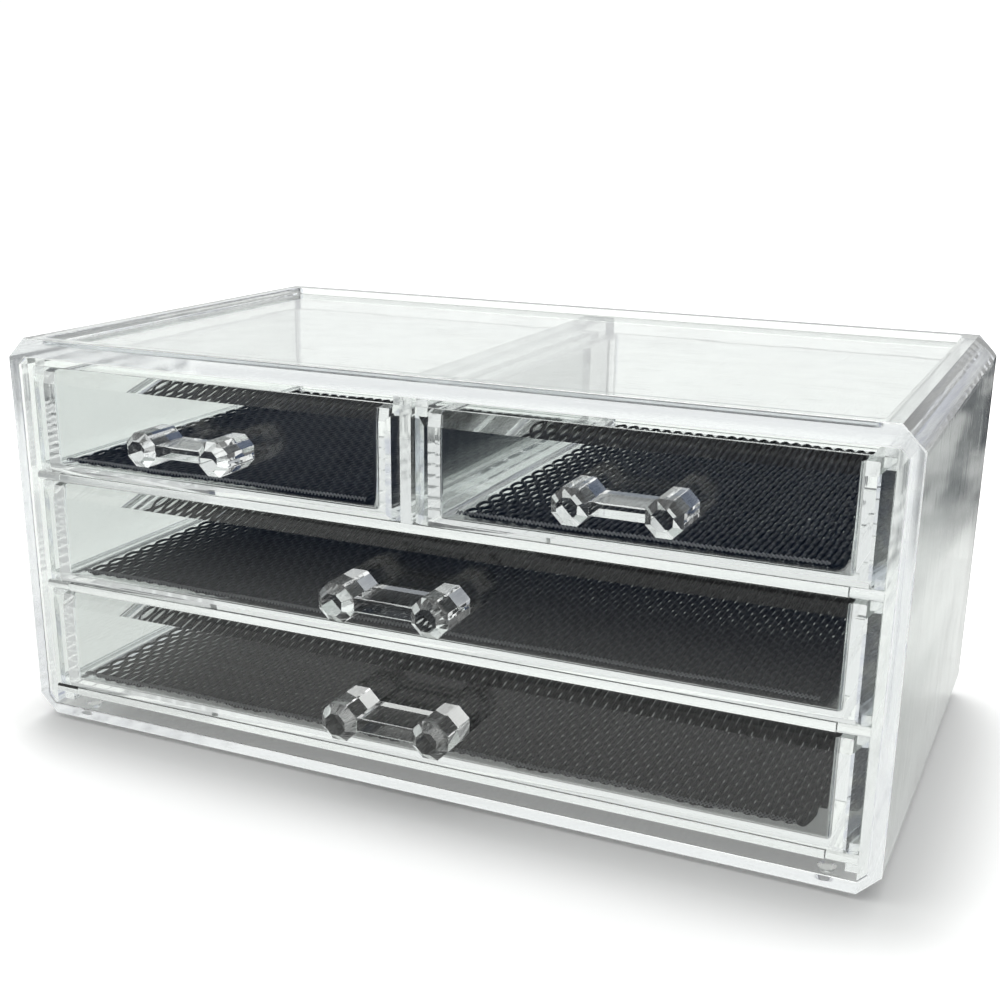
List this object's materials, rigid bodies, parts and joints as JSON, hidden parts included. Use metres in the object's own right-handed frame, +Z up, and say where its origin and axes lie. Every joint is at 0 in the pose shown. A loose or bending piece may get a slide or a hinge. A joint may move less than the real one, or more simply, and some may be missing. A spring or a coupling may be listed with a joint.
{
  "type": "drawer organizer",
  "caption": "Clear plastic dressing-table box with drawers in rows, joined-knob handles and net mats; the drawers pull out towards the front.",
  "frame": {"origin": "bottom centre of the whole organizer's outline, handles included, on the plane that the feet stand on", "axes": "+Z up, the drawers open towards -Y, +X to the right seen from the front"},
  "size_m": [0.24, 0.1476, 0.1097],
  "materials": {
    "clear_case": "clear, polished plastic",
    "clear_drawer": "clear, polished plastic",
    "clear_handle": "clear, polished plastic, cut in flat facets",
    "black_net": "knitted black net with looped edges"
  },
  "bodies": {
    "case": {"case_shell": "clear_case", "left_side_panel": "clear_case", "right_side_panel": "clear_case", "bottom_shelf": "clear_case", "lower_shelf": "clear_case", "upper_shelf": "clear_case", "center_divider": "clear_case"},
    "lower_drawer": {"lower_drawer": "clear_drawer", "lower_handle": "clear_handle", "lower_mat": "black_net"},
    "middle_drawer": {"middle_drawer": "clear_drawer", "middle_handle": "clear_handle", "middle_mat": "black_net"},
    "upper_left_drawer": {"upper_left_drawer": "clear_drawer", "upper_left_handle": "clear_handle", "upper_left_mat": "black_net"},
    "upper_right_drawer": {"upper_right_drawer": "clear_drawer", "upper_right_handle": "clear_handle", "upper_right_mat": "black_net"}
  },
  "joints": [
    {"name": "lower_slide", "type": "slide", "parent": "case", "child": "lower_drawer", "axis": [0, -1, 0], "range_m": [0, 0.128]},
    {"name": "middle_slide", "type": "slide", "parent": "case", "child": "middle_drawer", "axis": [0, -1, 0], "range_m": [0, 0.128]},
    {"name": "upper_left_slide", "type": "slide", "parent": "case", "child": "upper_left_drawer", "axis": [0, -1, 0], "range_m": [0, 0.128]},
    {"name": "upper_right_slide", "type": "slide", "parent": "case", "child": "upper_right_drawer", "axis": [0, -1, 0], "range_m": [0, 0.128]}
  ]
}
